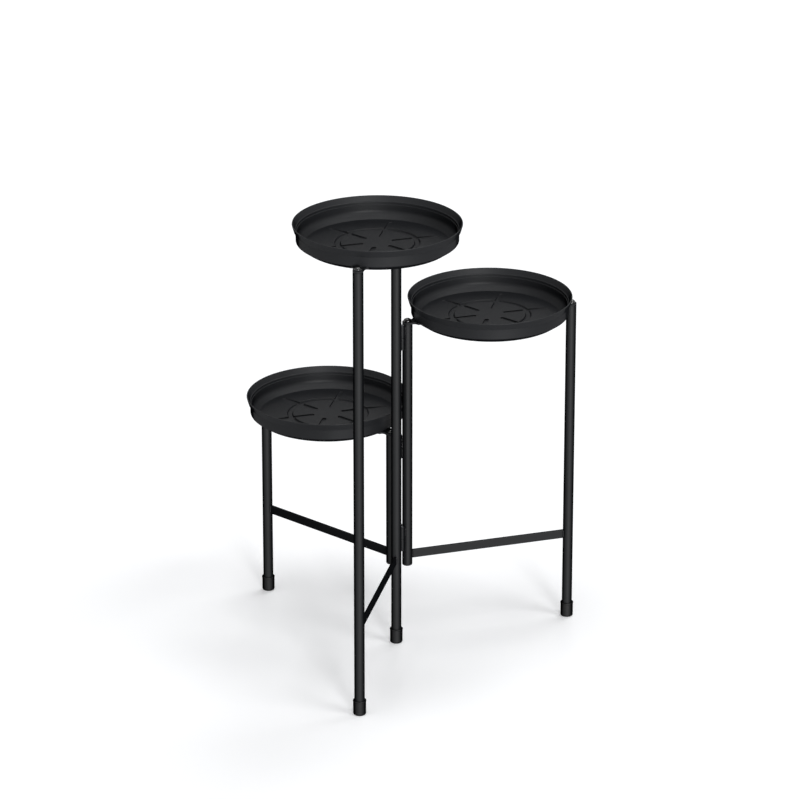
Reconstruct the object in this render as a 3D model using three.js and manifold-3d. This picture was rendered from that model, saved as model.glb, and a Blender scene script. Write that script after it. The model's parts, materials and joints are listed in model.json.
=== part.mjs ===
// Folding three-tier plant stand, in millimetres, +Z up.
//
// Three flat frames stand round a hub of three upright tubes, 120 degrees apart. Each frame is
// an inner post, an outer leg and a flat brace low down, and a moulded saucer is screwed to the
// two tube tops as the upper cross member. The tall frame stands on two legs. The middle frame
// hangs on the tall frame's rear leg by two pinned knuckle hinges, and the low frame hangs on
// the middle frame's inner post by two more, so that the stand swings shut for storage.
//
// The origin is the centre of the rear leg's foot, on the floor. The tall frame runs along -Y.

import * as THREE from 'three';
import { mergeVertices } from 'three/addons/utils/BufferGeometryUtils.js';
import Module from 'manifold-3d';

const wasm = await Module();
wasm.setup();

// ---------------------------------------------------------------- driving dimensions

const fitGap = 0.3;              // clearance kept between pieces that seat on each other
const hubAngle = 120;            // plan angle between neighbouring frames, degrees

const lowTier = 345;             // floor to the top of the low saucer's lugs
const tierStep = 185;            // rise from one tier to the next

const tubeRadius = 8;
const tubeWall = 1.2;
const innerPostEnd = 124;        // floor to the closed lower end of a hanging inner post

const braceRise = 11;            // hanging post's closed end to the underside of the brace
const braceHeight = 14;
const braceThickness = 3.5;

const footHeight = 23.5;
const footWall = 1.6;
const footFloor = 3;             // rubber under the end of the tube
const footEdge = 2.5;            // rounding of the ground edge
const footLip = 0.4;             // how far the bead round the mouth stands out
const footLipHeight = 2.2;

const plugLip = 2.5;             // what shows of an end plug below its tube
const plugStem = 14;

const knuckleRadius = 4.5;
const knuckleStack = 38;         // length of the two knuckles of one hinge together
const lowerHingeRise = 4;        // top of the brace to the lower hinge
const upperHingeDrop = 1;        // upper hinge below the top of the shorter tube
const saddleWidth = 6.8;         // weld saddle that joins a knuckle to its tube
const saddleSetback = 1.5;       // saddle ends short of the knuckle's ends

const pinRadius = 2.5;
const pinHeadRadius = 3.9;
const pinHeadHeight = 1.2;
const pinRivetRadius = 3.4;
const pinRivetHeight = 1;

const screwShank = 2.5;
const screwLength = 16;          // shank below the lug
const domeRadius = 6.25;
const domeHeight = 5.5;
const domeSkirt = 1;             // straight edge under the dome
const insertHeight = 20;

const saucerRadius = 127;        // outside of the rim
const postSetout = 6.5;          // rim to the axis of the tubes that carry the saucer
const saucerHeight = 34.8;
const saucerWall = 2.2;
const rimFlare = 5.6;            // rim beyond the foot of the upright wall
const wallLean = 0.2;            // how much wider the wall is at its top
const chamferRun = 11.8;         // sloping foot of the wall, in plan
const chamferRise = 8.2;         // sloping foot of the wall, in height
const floorCrown = 2.2;          // how much higher the middle of the floor is than its edge
const bandHeight = 10.2;         // flared band round the rim
const bandStep = 2.6;            // overhang of the band over the wall
const bandWall = 2.7;            // thickness of the band at its foot
const rimEdge = 1.7;             // width of the flat on top of the rim
const seatWall = 1.4;            // wall left outside the narrow seat under the band
const seatHeight = 3.6;

const grooveDepth = 2.4;
const ringGrooveRadius = 59.2;
const ringGrooveWidth = 9.2;
const spokeGrooves = 6;
const spokeGrooveWidth = 7;
const spokeInner = 22;
const spokeOuter = 97;
const grooveSlope = 1.2;         // width of a ring groove's sloping flank

const lugThickness = 3;
const lugRise = 4.8;             // underside of a lug above the saucer's underside
const lugFlare = 6;              // radius between a lug's side and the saucer's wall

const tubeSides = 24;
const smallSides = 14;
const pinSides = 12;
const saucerSides = 40;

// ---------------------------------------------------------------- derived places

const radians = THREE.MathUtils.degToRad;

const postSpacing = 2 * (saucerRadius + postSetout);         // inner tube axis to outer tube axis
const braceBottom = innerPostEnd + braceRise;
const lowerHingeBottom = braceBottom + braceHeight + lowerHingeRise;
const hingeReach = tubeRadius + fitGap + knuckleRadius;      // tube axis to pin axis
const hubRadius = hingeReach / Math.sin(radians(hubAngle / 2));   // hub centre to each hub tube
const leadingSide = 90 + hubAngle / 2;                       // hinge side towards the next frame
const trailingSide = 360 - leadingSide;                      // hinge side towards the frame before
const saucerDrop = lugRise + lugThickness;                   // lug top above the saucer's underside
const wallRadius = saucerRadius - rimFlare;                  // foot of the upright wall, outside
const ringOuter = ringGrooveRadius + ringGrooveWidth / 2;
const ringInner = ringGrooveRadius - ringGrooveWidth / 2;
const floorTop = floorCrown + saucerWall;                    // middle of the saucer's floor
const tubeBore = tubeRadius - tubeWall;
const boreRadius = pinRadius + fitGap;
const knuckleLength = (knuckleStack - fitGap) / 2;

// ---------------------------------------------------------------- finishes

const paint = { color: 0x2a2b2d, roughness: 0.42, metalness: 0.3 };
const plastic = { color: 0x202124, roughness: 0.5, metalness: 0 };
const gloss = { color: 0x0c0d0e, roughness: 0.12, metalness: 0 };
const rubber = { color: 0x1b1b1c, roughness: 0.85, metalness: 0 };
const steel = { color: 0x8c9095, roughness: 0.35, metalness: 1 };

// ---------------------------------------------------------------- helpers

function named(name, geometry, finish) {
  const mesh = new THREE.Mesh(geometry, new THREE.MeshStandardMaterial(finish));
  mesh.name = name;
  return mesh;
}

// Revolves [radius, height] points about the Z axis.
function revolve(points, sides) {
  const profile = points.map(([radius, height]) => new THREE.Vector2(radius, height));
  return new THREE.LatheGeometry(profile, sides).rotateX(Math.PI / 2);
}

// Points of a round, from one angle to the other, in degrees.
function arc(centreRadius, centreHeight, radius, from, to, steps) {
  return Array.from({ length: steps + 1 }, (_, step) => {
    const angle = radians(from + (to - from) * step / steps);
    return [centreRadius + radius * Math.cos(angle), centreHeight + radius * Math.sin(angle)];
  });
}

function cylinder(radius, bottom, top, sides) {
  return revolve([[0, bottom], [radius, bottom], [radius, top], [0, top]], sides);
}

function ring(outer, inner, bottom, top, sides) {
  return revolve([[inner, bottom], [outer, bottom], [outer, top], [inner, top], [inner, bottom]], sides);
}

// Extrudes a flat outline up from one height to another.
function slab(shape, bottom, top, curveSegments) {
  const options = { depth: top - bottom, bevelEnabled: false, curveSegments };
  return new THREE.ExtrudeGeometry(shape, options).translate(0, 0, bottom);
}

function solidOf(geometry) {
  const bare = geometry.clone();
  bare.deleteAttribute('normal');
  bare.deleteAttribute('uv');
  const merged = mergeVertices(bare, 1e-4);
  const vertProperties = new Float32Array(merged.attributes.position.array);
  const triVerts = new Uint32Array(merged.index.array);
  return new wasm.Manifold(new wasm.Mesh({ numProp: 3, vertProperties, triVerts }));
}

function geometryOf(solid) {
  const { vertProperties, triVerts } = solid.getMesh();
  const geometry = new THREE.BufferGeometry();
  geometry.setAttribute('position', new THREE.BufferAttribute(vertProperties, 3));
  geometry.setIndex(new THREE.BufferAttribute(triVerts, 1));
  geometry.computeVertexNormals();
  return geometry;
}

// ---------------------------------------------------------------- frame members

function tube(bottom, top) {
  return ring(tubeRadius, tubeBore, bottom, top, tubeSides);
}

// Flat bar on edge between the two tubes of a frame, coped to sit against them.
function brace() {
  const bar = new THREE.BoxGeometry(postSpacing, braceThickness, braceHeight);
  bar.translate(postSpacing / 2, 0, braceBottom + braceHeight / 2);
  const top = braceBottom + braceHeight;
  const cope = cylinder(tubeRadius + fitGap, braceBottom - 1, top + 1, tubeSides);
  const inner = solidOf(cope);
  const outer = solidOf(cope.clone().translate(postSpacing, 0, 0));
  return geometryOf(solidOf(bar).subtract(inner).subtract(outer));
}

// Rubber ferrule: a cup over the tube's end, with a rounded ground edge and a beaded mouth.
function foot() {
  const bore = tubeRadius + fitGap;
  const outer = bore + footWall;
  const bead = outer + footLip;
  return revolve([
    [0, 0],
    ...arc(outer - footEdge, footEdge, footEdge, -90, 0, 2),
    [outer, footHeight - footLipHeight],
    [bead, footHeight - footLipHeight + footLip],
    [bead, footHeight - footLip],
    [outer, footHeight],
    [bore, footHeight],
    [bore, footFloor],
    [0, footFloor],
  ], tubeSides);
}

// Closed plug in the lower end of a hanging post, with a rounded lip as wide as the tube.
function endPlug() {
  const lipTop = innerPostEnd + plugLip;
  const stem = tubeBore - fitGap;
  return revolve([
    [0, innerPostEnd],
    ...arc(tubeRadius - plugLip, lipTop, plugLip, -90, 0, 2),
    [stem, lipTop],
    [stem, lipTop + plugStem],
    [0, lipTop + plugStem],
  ], tubeSides);
}

// Threaded insert that closes the top of a tube and takes the saucer's screw.
function insert(tubeTop) {
  return ring(tubeBore - fitGap, screwShank + fitGap, tubeTop - insertHeight, tubeTop, pinSides);
}

// Dome-headed screw through a saucer lug.
function domeScrew(lugTop) {
  const base = lugTop + fitGap;
  const crown = domeHeight - domeSkirt;
  const dome = [0, 30, 62].map((degrees) => [
    domeRadius * Math.cos(radians(degrees)),
    base + domeSkirt + crown * Math.sin(radians(degrees)),
  ]);
  const tip = lugTop - lugThickness - screwLength;
  return revolve([
    [0, tip],
    [screwShank, tip],
    [screwShank, base],
    [domeRadius, base],
    ...dome,
    [0, base + domeHeight],
  ], smallSides);
}

// ---------------------------------------------------------------- hinges

// One knuckle at the pin axis, with a saddle welded to the tube that lies along +X.
function knuckle(bottom) {
  const top = bottom + knuckleLength;
  const barrel = cylinder(knuckleRadius, bottom, top, smallSides);
  const saddle = new THREE.BoxGeometry(hingeReach, saddleWidth, knuckleLength - 2 * saddleSetback);
  saddle.translate(hingeReach / 2, 0, (bottom + top) / 2);
  const bore = cylinder(boreRadius, bottom - 1, top + 1, smallSides);
  const tubeSeat = cylinder(tubeRadius + fitGap, bottom - 1, top + 1, tubeSides);
  tubeSeat.translate(hingeReach, 0, 0);
  const welded = solidOf(barrel).add(solidOf(saddle));
  return geometryOf(welded.subtract(solidOf(bore)).subtract(solidOf(tubeSeat)));
}

// Headed pin through both knuckles of a hinge, riveted over below.
function hingePin(bottom) {
  const stackTop = bottom + knuckleStack;
  return revolve([
    [0, bottom - fitGap - pinRivetHeight],
    [pinRivetRadius, bottom - fitGap - pinRivetHeight],
    [pinRivetRadius, bottom - fitGap],
    [pinRadius, bottom - fitGap],
    [pinRadius, stackTop + fitGap],
    [pinHeadRadius, stackTop + fitGap],
    [pinHeadRadius, stackTop + fitGap + pinHeadHeight],
    [0, stackTop + fitGap + pinHeadHeight],
  ], pinSides);
}

// Places a piece at the pin axis on one side of a frame's inner post.
function atHinge(mesh, side) {
  const angle = radians(side);
  mesh.position.set(hingeReach * Math.cos(angle), hingeReach * Math.sin(angle), 0);
  mesh.rotation.z = angle + Math.PI;
  return mesh;
}

// Heights of the lower and the upper hinge that join a frame to the one before it.
function hingeHeights(frame) {
  const shorterTop = frame.lugTop - lugThickness;
  return { lower: lowerHingeBottom, upper: shorterTop - upperHingeDrop - knuckleStack };
}

// ---------------------------------------------------------------- saucer

// Outside of the shell, closed over its rim and down the axis.
function saucerOutside() {
  const bandBottom = saucerHeight - bandHeight;
  const wallTop = wallRadius + wallLean;
  const flank = (saucerWall - grooveSlope) / 2;
  return [
    [0, floorCrown],
    [ringInner - flank, floorCrown],
    [ringInner + flank, 0],
    [ringOuter - flank, 0],
    [ringOuter + flank, floorCrown],
    [wallRadius - chamferRun, 0],
    [wallRadius, chamferRise],
    [wallTop, bandBottom - bandStep / 4],
    [wallTop + bandStep, bandBottom],
    [saucerRadius, saucerHeight - rimEdge / 2],
    [saucerRadius - rimEdge / 3, saucerHeight],
    [0, saucerHeight],
  ];
}

// Space inside the shell, from the groove round its floor to past the rim.
function saucerInside() {
  const bandBottom = saucerHeight - bandHeight;
  const wallTop = wallRadius + wallLean;
  const slope = Math.hypot(chamferRun, chamferRise);
  const innerWall = wallRadius - saucerWall;
  const edge = wallRadius - chamferRun - saucerWall * (slope - chamferRun) / chamferRise;
  const bandFoot = bandBottom + saucerWall;
  const seatTop = bandFoot - bandStep / 4;
  const seat = wallTop - seatWall;
  return [
    [0, floorTop],
    [ringInner, floorTop],
    [ringInner + grooveSlope, floorTop - grooveDepth],
    [ringOuter - grooveSlope, floorTop - grooveDepth],
    [ringOuter, floorTop],
    [edge, saucerWall],
    [innerWall, saucerWall + (innerWall - edge) * chamferRise / chamferRun],
    [innerWall, seatTop - seatHeight - (seat - innerWall) / 2],
    [seat, seatTop - seatHeight],
    [seat, seatTop],
    [wallTop + bandStep - bandWall, bandFoot],
    [saucerRadius - rimEdge, saucerHeight],
    [saucerRadius - rimEdge, saucerHeight + 1],
    [0, saucerHeight + 1],
  ];
}

// Rounded tab that rests on a tube top, flaring into the wall of the saucer.
function lugOutline() {
  const reach = postSpacing / 2;
  const root = wallRadius - chamferRun;
  const wall = wallRadius - Math.max(0, chamferRise - saucerDrop) * chamferRun / chamferRise;
  const halfWidth = tubeRadius;
  const shoulder = Math.asin((halfWidth + lugFlare) / root);
  const flareCentre = Math.sqrt((wall + lugFlare) ** 2 - (halfWidth + lugFlare) ** 2);
  const outline = new THREE.Shape();
  outline.absarc(reach, 0, halfWidth, -Math.PI / 2, Math.PI / 2, false);
  outline.absarc(flareCentre, halfWidth + lugFlare, lugFlare, -Math.PI / 2, Math.PI + shoulder, true);
  outline.absarc(0, 0, root, shoulder, -shoulder, true);
  outline.absarc(flareCentre, -halfWidth - lugFlare, lugFlare, Math.PI - shoulder, Math.PI / 2, true);
  return outline;
}

// Round-ended groove along +X, with its bottom level from end to end.
function spokeGroove() {
  const end = spokeGrooveWidth / 2;
  const outline = new THREE.Shape();
  outline.absarc(spokeOuter - end, 0, end, -Math.PI / 2, Math.PI / 2, false);
  outline.absarc(spokeInner + end, 0, end, Math.PI / 2, Math.PI * 1.5, false);
  return slab(outline, floorTop - grooveDepth, floorTop + 1, 4);
}

// The ridge that the same groove raises under the floor, down to the saucer's underside.
function spokeRidge() {
  const length = spokeOuter - spokeInner + saucerWall;
  const ridge = new THREE.BoxGeometry(length, spokeGrooveWidth + saucerWall, floorTop);
  return ridge.translate((spokeOuter + spokeInner) / 2, 0, floorTop / 2);
}

// Moulded saucer: a revolved shell with a crowned and grooved floor and two screw lugs.
function saucer() {
  let body = solidOf(revolve(saucerOutside(), saucerSides));
  const lug = slab(lugOutline(), lugRise, lugRise + lugThickness, 5);
  for (let spoke = 0; spoke < spokeGrooves; spoke += 1) {
    body = body.add(solidOf(spokeRidge().rotateZ(spoke * 2 * Math.PI / spokeGrooves)));
  }
  for (const turn of [0, Math.PI]) {
    body = body.add(solidOf(lug.clone().rotateZ(turn)));
  }

  body = body.subtract(solidOf(revolve(saucerInside(), saucerSides)));
  for (let spoke = 0; spoke < spokeGrooves; spoke += 1) {
    body = body.subtract(solidOf(spokeGroove().rotateZ(spoke * 2 * Math.PI / spokeGrooves)));
  }
  const hole = cylinder(screwShank + fitGap, lugRise - 1, lugRise + lugThickness + 1, smallSides);
  hole.translate(postSpacing / 2, 0, 0);
  for (const turn of [0, Math.PI]) {
    body = body.subtract(solidOf(hole.clone().rotateZ(turn)));
  }
  return geometryOf(body);
}

// ---------------------------------------------------------------- one frame

// A frame lies along its own +X, from the inner post at 0 to the outer leg at postSpacing.
function buildFrame(frame) {
  const group = new THREE.Group();
  const tubeTop = frame.lugTop - lugThickness - fitGap;
  const floorEnd = footFloor + fitGap;
  const hangingEnd = innerPostEnd + plugLip + fitGap;
  const innerBottom = frame.innerFoot ? floorEnd : hangingEnd;

  const place = (mesh, x, z = 0) => {
    mesh.position.set(x, 0, z);
    group.add(mesh);
  };

  place(named(frame.outerTube, tube(floorEnd, tubeTop), paint), postSpacing);
  place(named(frame.innerTube, tube(innerBottom, tubeTop), paint), 0);
  place(named(`${frame.name}_brace`, brace(), paint), 0);
  place(named(frame.outerFoot, foot(), rubber), postSpacing);
  if (frame.innerFoot) {
    place(named(frame.innerFoot, foot(), rubber), 0);
  } else {
    place(named(`${frame.name}_end_plug`, endPlug(), plastic), 0);
  }

  place(named(`${frame.tier}_saucer`, saucer(), plastic), postSpacing / 2, frame.lugTop - saucerDrop);
  for (const [end, x] of [['inner', 0], ['outer', postSpacing]]) {
    place(named(`${frame.tier}_${end}_insert`, insert(tubeTop), plastic), x);
    place(named(`${frame.tier}_${end}_screw`, domeScrew(frame.lugTop), gloss), x);
  }

  // Lower half of each hinge to the frame after this one, with the pin.
  if (frame.next) {
    for (const [level, bottom] of Object.entries(hingeHeights(frame.next))) {
      const fixed = named(`${frame.next.name}_${level}_fixed_knuckle`, knuckle(bottom), paint);
      const pin = named(`${frame.next.name}_${level}_hinge_pin`, hingePin(bottom), steel);
      group.add(atHinge(fixed, leadingSide), atHinge(pin, leadingSide));
    }
  }

  // Upper half of each hinge to the frame before this one.
  if (frame.hanging) {
    for (const [level, bottom] of Object.entries(hingeHeights(frame))) {
      const rise = bottom + knuckleLength + fitGap;
      const swinging = named(`${frame.name}_${level}_swinging_knuckle`, knuckle(rise), paint);
      group.add(atHinge(swinging, trailingSide));
    }
  }

  // The hub tube lies on a circle round the hub's centre, and the frame points away from it.
  const heading = radians(frame.heading);
  group.position.set(hubRadius * Math.cos(heading), hubRadius * (1 + Math.sin(heading)), 0);
  group.rotation.z = heading;
  return group;
}

// ---------------------------------------------------------------- the stand

const lowFrame = {
  name: 'low',
  tier: 'low',
  heading: -90 + 2 * hubAngle,
  lugTop: lowTier,
  outerTube: 'low_outer_leg',
  innerTube: 'low_inner_post',
  outerFoot: 'low_outer_foot',
  hanging: true,
};

const middleFrame = {
  name: 'middle',
  tier: 'middle',
  heading: -90 + hubAngle,
  lugTop: lowTier + tierStep,
  outerTube: 'middle_outer_leg',
  innerTube: 'middle_inner_post',
  outerFoot: 'middle_outer_foot',
  hanging: true,
  next: lowFrame,
};

const tallFrame = {
  name: 'tall',
  tier: 'top',
  heading: -90,
  lugTop: lowTier + 2 * tierStep,
  outerTube: 'tall_front_leg',
  innerTube: 'tall_rear_leg',
  outerFoot: 'tall_front_foot',
  innerFoot: 'tall_rear_foot',
  next: middleFrame,
};

const stand = new THREE.Group();
stand.add(buildFrame(tallFrame), buildFrame(middleFrame), buildFrame(lowFrame));

export default stand;
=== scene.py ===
"""Finished model of a folding three-tier plant stand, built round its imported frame.

Lengths in the dataclass fields are millimetres. Meshes are built in metres, in the frame of the
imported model: +Z up, with the origin under the rear leg's foot.
"""

import json
import logging
import math
from collections.abc import Iterator, Sequence
from contextlib import contextmanager
from dataclasses import dataclass
from enum import Enum
from itertools import pairwise

import bpy
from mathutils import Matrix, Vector

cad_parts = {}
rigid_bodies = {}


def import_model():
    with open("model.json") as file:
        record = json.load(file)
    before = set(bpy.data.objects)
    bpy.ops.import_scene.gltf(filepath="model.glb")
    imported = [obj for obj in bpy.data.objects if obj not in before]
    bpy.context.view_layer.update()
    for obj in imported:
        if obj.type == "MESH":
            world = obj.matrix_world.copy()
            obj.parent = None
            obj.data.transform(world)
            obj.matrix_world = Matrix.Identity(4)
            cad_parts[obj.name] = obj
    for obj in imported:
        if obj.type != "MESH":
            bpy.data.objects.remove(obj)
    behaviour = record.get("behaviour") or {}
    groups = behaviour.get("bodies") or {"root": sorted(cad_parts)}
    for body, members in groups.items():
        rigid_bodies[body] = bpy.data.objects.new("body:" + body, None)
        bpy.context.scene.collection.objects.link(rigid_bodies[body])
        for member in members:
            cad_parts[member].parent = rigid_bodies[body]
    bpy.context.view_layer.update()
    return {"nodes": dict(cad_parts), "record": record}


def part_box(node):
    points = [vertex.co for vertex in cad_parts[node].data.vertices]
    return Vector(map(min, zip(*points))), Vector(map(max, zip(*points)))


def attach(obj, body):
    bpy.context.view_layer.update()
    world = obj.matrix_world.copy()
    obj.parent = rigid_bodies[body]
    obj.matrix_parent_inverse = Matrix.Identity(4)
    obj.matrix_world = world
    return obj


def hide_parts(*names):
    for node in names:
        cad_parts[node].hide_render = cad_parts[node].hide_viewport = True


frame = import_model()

MM = 0.001

logging.basicConfig(level=logging.INFO, format="%(message)s")
log = logging.getLogger("plant_stand")

Point = tuple[float, float]


# ------------------------------------------------------------------ named options


class Operation(Enum):
    """How one solid changes another."""

    ADD = "UNION"
    CUT = "DIFFERENCE"


class Slot(Enum):
    """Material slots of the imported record."""

    COATED_STEEL = "powder_coated_steel"
    SAUCER = "saucer_plastic"
    SCREW = "gloss_black_screw"
    FOOT = "foot_rubber"
    PLUG = "plug_plastic"
    INSERT = "insert_plastic"
    PIN = "pin_steel"


class Level(Enum):
    """The two hinges of a pair of frames."""

    LOWER = "lower"
    UPPER = "upper"


# ------------------------------------------------------------------ modelling by hand


def pick_only(piece: bpy.types.Object) -> None:
    """Selects one object and makes it the active one.

    Args:
        piece: The object.
    """
    bpy.ops.object.select_all(action="DESELECT")
    piece.select_set(True)
    bpy.context.view_layer.objects.active = piece


@contextmanager
def editing(piece: bpy.types.Object, select: str = "SELECT") -> Iterator[None]:
    """Opens a mesh in edit mode, with all or none of it selected.

    Args:
        piece: The mesh to edit.
        select: SELECT or DESELECT.
    """
    pick_only(piece)
    bpy.ops.object.mode_set(mode="EDIT")
    bpy.ops.mesh.select_mode(type="VERT")
    bpy.ops.mesh.select_all(action=select)
    yield
    bpy.ops.object.mode_set(mode="OBJECT")


def arc(centre: Point, radius: float, start: float, end: float, steps: int) -> list[Point]:
    """Points of a round.

    Args:
        centre: Centre of the round.
        radius: Its radius.
        start: First angle in degrees.
        end: Last angle in degrees.
        steps: Number of chords.

    Returns:
        The points, both ends included.
    """
    turns = [math.radians(start + (end - start) * step / steps) for step in range(steps + 1)]
    return [(centre[0] + radius * math.cos(a), centre[1] + radius * math.sin(a)) for a in turns]


def rounded(corners: Sequence[tuple[float, float, float]], chord_turn: float = 15) -> list[Point]:
    """Rounds the corners of an open outline.

    Args:
        corners: Both coordinates of each corner and its rounding.
        chord_turn: Greatest turn between neighbouring chords in degrees.

    Returns:
        The points of the rounded outline.
    """
    points: list[Point] = []
    for index, (x, y, radius) in enumerate(corners):
        if radius <= 0 or index in (0, len(corners) - 1):
            points.append((x, y))
            continue
        corner = Vector((x, y))
        before = (Vector(corners[index - 1][:2]) - corner).normalized()
        after = (Vector(corners[index + 1][:2]) - corner).normalized()
        half = before.angle(after) / 2
        centre = corner + (before + after).normalized() * (radius / math.sin(half))
        touch = corner + before * (radius / math.tan(half)) - centre
        turn = math.pi - 2 * half
        side = 1 if before.cross(after) < 0 else -1
        steps = max(2, math.ceil(math.degrees(turn) / chord_turn))
        start = math.atan2(touch.y, touch.x)
        for step in range(steps + 1):
            angle = start + side * turn * step / steps
            points.append((centre.x + radius * math.cos(angle), centre.y + radius * math.sin(angle)))
    return points


def trace(name: str, points: Sequence[Vector]) -> bpy.types.Object:
    """Draws a chain of edges by extruding one vertex from point to point.

    Args:
        name: Name of the new object.
        points: The points in metres.

    Returns:
        The object that holds the chain.
    """
    bpy.ops.object.select_all(action="DESELECT")
    bpy.ops.mesh.primitive_plane_add(size=MM, location=(0, 0, 0))
    piece = bpy.context.object
    piece.name = name
    piece.data.name = name
    with editing(piece):
        bpy.ops.mesh.merge(type="CENTER")
        bpy.ops.transform.translate(value=points[0])
        for start, end in pairwise(points):
            bpy.ops.mesh.extrude_vertices_move(TRANSFORM_OT_translate={"value": end - start})
    return piece


def turned(name: str, section: Sequence[Point], steps: int) -> bpy.types.Object:
    """Spins a half-section about the Z axis, as on a lathe.

    Args:
        name: Name of the new object.
        section: Radius and height of each point of the half-section.
        steps: Number of facets round the axis.

    Returns:
        The closed solid.
    """
    piece = trace(name, [Vector((radius, 0, height)) * MM for radius, height in section])
    with editing(piece):
        bpy.ops.mesh.spin(steps=steps, angle=math.tau, center=(0, 0, 0), axis=(0, 0, 1))
        bpy.ops.mesh.select_all(action="SELECT")
        bpy.ops.mesh.remove_doubles(threshold=0.002 * MM)
        bpy.ops.mesh.normals_make_consistent(inside=False)
    return piece


def plate(name: str, outline: Sequence[Point], bottom: float, top: float) -> bpy.types.Object:
    """Fills an outline in plan and extrudes it upwards.

    Args:
        name: Name of the new object.
        outline: Points of the outline, without repeating the first.
        bottom: Height of the underside.
        top: Height of the upper side.

    Returns:
        The closed solid.
    """
    piece = trace(name, [Vector((x, y, bottom)) * MM for x, y in outline])
    with editing(piece):
        bpy.ops.mesh.edge_face_add()
        rise = (0, 0, (top - bottom) * MM)
        bpy.ops.mesh.extrude_region_move(TRANSFORM_OT_translate={"value": rise})
        bpy.ops.mesh.select_all(action="SELECT")
        bpy.ops.mesh.normals_make_consistent(inside=False)
    return piece


def bevel_level(piece: bpy.types.Object, height: float, width: float, segments: int = 3) -> None:
    """Rounds the edges that lie flat at one height.

    Args:
        piece: The mesh to change.
        height: Height of the edges.
        width: Width of the rounding.
        segments: Number of facets in it.
    """
    with editing(piece, "DESELECT"):
        bpy.ops.object.mode_set(mode="OBJECT")
        tolerance = 0.01 * MM
        for vertex in piece.data.vertices:
            vertex.select = abs(vertex.co.z - height * MM) < tolerance
        for edge in piece.data.edges:
            edge.select = all(piece.data.vertices[end].select for end in edge.vertices)
        bpy.ops.object.mode_set(mode="EDIT")
        bpy.ops.mesh.bevel(offset=width * MM, segments=segments, affect="EDGES")


def apply(piece: bpy.types.Object, modifier: bpy.types.Modifier) -> None:
    """Applies one modifier of a piece."""
    pick_only(piece)
    bpy.ops.object.modifier_apply(modifier=modifier.name)


def combine(piece: bpy.types.Object, tool: bpy.types.Object, operation: Operation) -> None:
    """Adds a solid to a piece or cuts it away, and removes the tool.

    Args:
        piece: The solid that is changed.
        tool: The solid that changes it.
        operation: Add or cut.
    """
    modifier = piece.modifiers.new(operation.name.lower(), "BOOLEAN")
    modifier.operation = operation.value
    modifier.solver = "EXACT"
    modifier.object = tool
    apply(piece, modifier)
    bpy.data.objects.remove(tool)


def put_in_order(piece: bpy.types.Object) -> None:
    """Numbers the parts of a mesh by their distance from a point off its symmetry.

    Solid cuts leave them in an order that varies from run to run, and merging follows that order.

    Args:
        piece: The mesh to sort.
    """
    cursor = bpy.context.scene.cursor
    cursor.location = Vector((13.7, 7.1, 3.1)) * MM
    with editing(piece):
        bpy.ops.mesh.sort_elements(type="CURSOR_DISTANCE", elements={"VERT", "EDGE", "FACE"})
    cursor.location = Vector()


def soften(piece: bpy.types.Object, width: float, segments: int = 2, angle: float = 40) -> None:
    """Rounds the sharp edges of a piece with a bevel.

    Args:
        piece: The mesh to change.
        width: Width of the rounding.
        segments: Number of facets in it.
        angle: Edges sharper than this many degrees are rounded.
    """
    modifier = piece.modifiers.new("edge rounding", "BEVEL")
    modifier.width = width * MM
    modifier.segments = segments
    modifier.limit_method = "ANGLE"
    modifier.angle_limit = math.radians(angle)
    modifier.miter_outer = "MITER_ARC"
    apply(piece, modifier)


def shade(piece: bpy.types.Object, angle: float = 35) -> None:
    """Shades a piece smooth, apart from its sharp edges, with face-weighted normals.

    Args:
        piece: The mesh to shade.
        angle: Edges sharper than this many degrees stay sharp.
    """
    pick_only(piece)
    bpy.ops.object.shade_smooth_by_angle(angle=math.radians(angle))
    modifier = piece.modifiers.new("face weights", "WEIGHTED_NORMAL")
    modifier.keep_sharp = True
    apply(piece, modifier)


def copied(piece: bpy.types.Object, name: str) -> bpy.types.Object:
    """Copies a piece with a mesh of its own.

    Args:
        piece: The piece to copy.
        name: Name of the copy.

    Returns:
        The copy.
    """
    pick_only(piece)
    bpy.ops.object.duplicate(linked=False)
    twin = bpy.context.object
    twin.name = name
    twin.data.name = name
    return twin


def placed(piece: bpy.types.Object, place: Vector, heading: float = 0) -> bpy.types.Object:
    """Turns a piece about Z, moves it, and keeps its object at the origin.

    Args:
        piece: The piece, modelled at the origin.
        place: Where its origin goes, in metres.
        heading: Turn about Z in radians.

    Returns:
        The same piece.
    """
    piece.rotation_euler = (0, 0, heading)
    piece.location = place
    pick_only(piece)
    bpy.ops.object.transform_apply(location=True, rotation=True, scale=True)
    return piece


def around(piece: bpy.types.Object, count: int) -> bpy.types.Object:
    """Repeats a piece evenly about the Z axis and joins the copies to it.

    Args:
        piece: The first of the pattern.
        count: How many there are in all.

    Returns:
        The joined pattern.
    """
    turns = range(1, count)
    copies = [placed(copied(piece, piece.name), Vector(), math.tau * n / count) for n in turns]
    pick_only(piece)
    for twin in copies:
        twin.select_set(True)
    bpy.ops.object.join()
    return piece


# ------------------------------------------------------------------ finishes

# Sockets of the Mix node when it mixes colours.
MIX_SHARE, MIX_FIRST, MIX_SECOND = 0, 6, 7
MIX_RESULT = 2


def linear(colour: str) -> tuple[float, float, float, float]:
    """Turns an sRGB hex colour into Blender's linear colour.

    Args:
        colour: The colour as #rrggbb.

    Returns:
        Red, green, blue and an alpha of 1.
    """
    shares = [int(colour[start : start + 2], 16) / 255 for start in (1, 3, 5)]
    curved = [s / 12.92 if s <= 0.04045 else ((s + 0.055) / 1.055) ** 2.4 for s in shares]
    return (*curved, 1.0)


def per_metre(size: float) -> float:
    """Noise or Voronoi scale whose features are about the given size in millimetres."""
    return 1 / (size * MM)


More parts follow.
